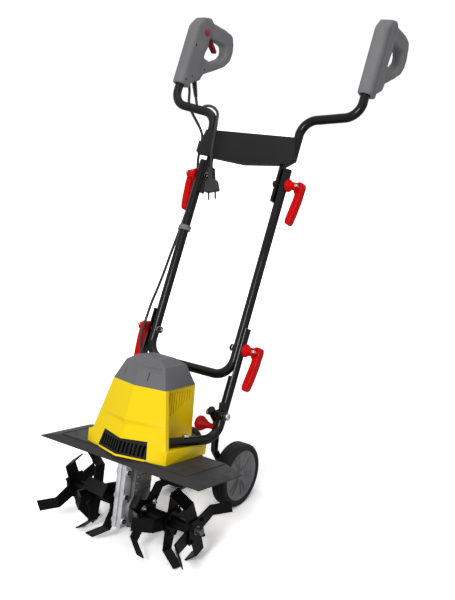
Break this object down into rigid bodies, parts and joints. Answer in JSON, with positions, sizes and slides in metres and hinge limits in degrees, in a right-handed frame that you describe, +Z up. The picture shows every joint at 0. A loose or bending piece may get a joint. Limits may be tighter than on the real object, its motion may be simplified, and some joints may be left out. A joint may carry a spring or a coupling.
{
  "type": "electric tiller",
  "caption": "Electric tiller with bladed tine rotor under a flat guard, ridged motor housing, folding tube handle with closed grips, and a swing-up transport wheel pair.",
  "frame": {"origin": "on the ground under the middle of the machine's outline, as it stands parked on its wheels and tine tips", "axes": "+Z up, +Y to the rear where the operator walks, -Y to the front, +X to the machine's left"},
  "size_m": [0.575, 0.8628, 1.1622],
  "materials": {
    "cast_light": "as-cast, lightly ribbed",
    "motor_steel": "plain block, not seen",
    "guard_black": "moulded, satin",
    "housing_yellow": "moulded, glossy",
    "grille_black": "moulded bars",
    "cap_grey": "moulded, satin",
    "tube_black": "powder coated, glossy",
    "tube_grey": "powder coated",
    "lever_red": "moulded",
    "knob_red": "moulded",
    "bolt_steel": "zinc plated",
    "shaft_steel": "turned",
    "tine_black": "painted plate, worn at the tips",
    "wheel_grey": "moulded",
    "tyre_dark": "plain tread",
    "grip_grey": "moulded, fine grain",
    "trigger_red": "moulded",
    "button_red": "moulded",
    "cable_black": "rubber sheath",
    "plug_black": "moulded on"
  },
  "bodies": {
    "chassis": {"gearbox": "cast_light", "motor_block": "motor_steel", "tine_guard": "guard_black", "motor_housing": "housing_yellow", "front_grille": "grille_black", "housing_cap": "cap_grey", "lower_frame_left": "tube_black", "lower_frame_right": "tube_black", "lower_levers": "lever_red", "pivot_bolts": "bolt_steel", "lock_knobs": "knob_red", "frame_bolts": "bolt_steel", "cable_lower": "cable_black"},
    "tine_rotor": {"tine_shaft": "shaft_steel", "tine_sleeves": "tine_black", "tine_star_left_inner": "tine_black", "tine_star_left_middle": "tine_black", "tine_star_left_outer": "tine_black", "tine_star_right_inner": "tine_black", "tine_star_right_middle": "tine_black", "tine_star_right_outer": "tine_black"},
    "wheel_carrier": {"wheel_frame": "tube_black", "axle": "bolt_steel"},
    "wheel_left": {"wheel_rim_left": "wheel_grey", "tyre_left": "tyre_dark"},
    "wheel_right": {"wheel_rim_right": "wheel_grey", "tyre_right": "tyre_dark"},
    "mid_handle_body": {"mid_handle": "tube_black", "upper_levers": "lever_red", "cable_ring": "grip_grey", "cable_mid": "cable_black"},
    "upper_handle_body": {"upper_tube_left": "tube_grey", "upper_tube_right": "tube_grey", "cross_panel": "guard_black", "cable_clip": "grip_grey", "switch_grip": "grip_grey", "plain_grip": "grip_grey", "trigger": "trigger_red", "safety_button": "button_red", "strain_relief": "cable_black", "cable_upper": "cable_black", "power_cord": "cable_black", "power_plug": "plug_black"}
  },
  "joints": [
    {"name": "tine_spin", "type": "hinge", "parent": "chassis", "child": "tine_rotor", "pos_m": [0, -0.33324, 0.09813], "axis": [1, 0, 0], "continuous": true},
    {"name": "wheel_swing", "type": "hinge", "parent": "chassis", "child": "wheel_carrier", "pos_m": [0, -0.1711, 0.30002], "axis": [1, 0, 0], "range_deg": [0, 60]},
    {"name": "wheel_left_spin", "type": "hinge", "parent": "wheel_carrier", "child": "wheel_left", "pos_m": [0.087, -0.04241, 0.08012], "axis": [1, 0, 0], "continuous": true},
    {"name": "wheel_right_spin", "type": "hinge", "parent": "wheel_carrier", "child": "wheel_right", "pos_m": [-0.087, -0.04241, 0.08012], "axis": [1, 0, 0], "continuous": true},
    {"name": "lower_fold", "type": "hinge", "parent": "chassis", "child": "mid_handle_body", "pos_m": [0, -0.08734, 0.43416], "axis": [1, 0, 0], "range_deg": [0, 120]},
    {"name": "upper_fold", "type": "hinge", "parent": "mid_handle_body", "child": "upper_handle_body", "pos_m": [0, 0.10348, 0.78856], "axis": [-1, 0, 0], "range_deg": [0, 120]}
  ]
}
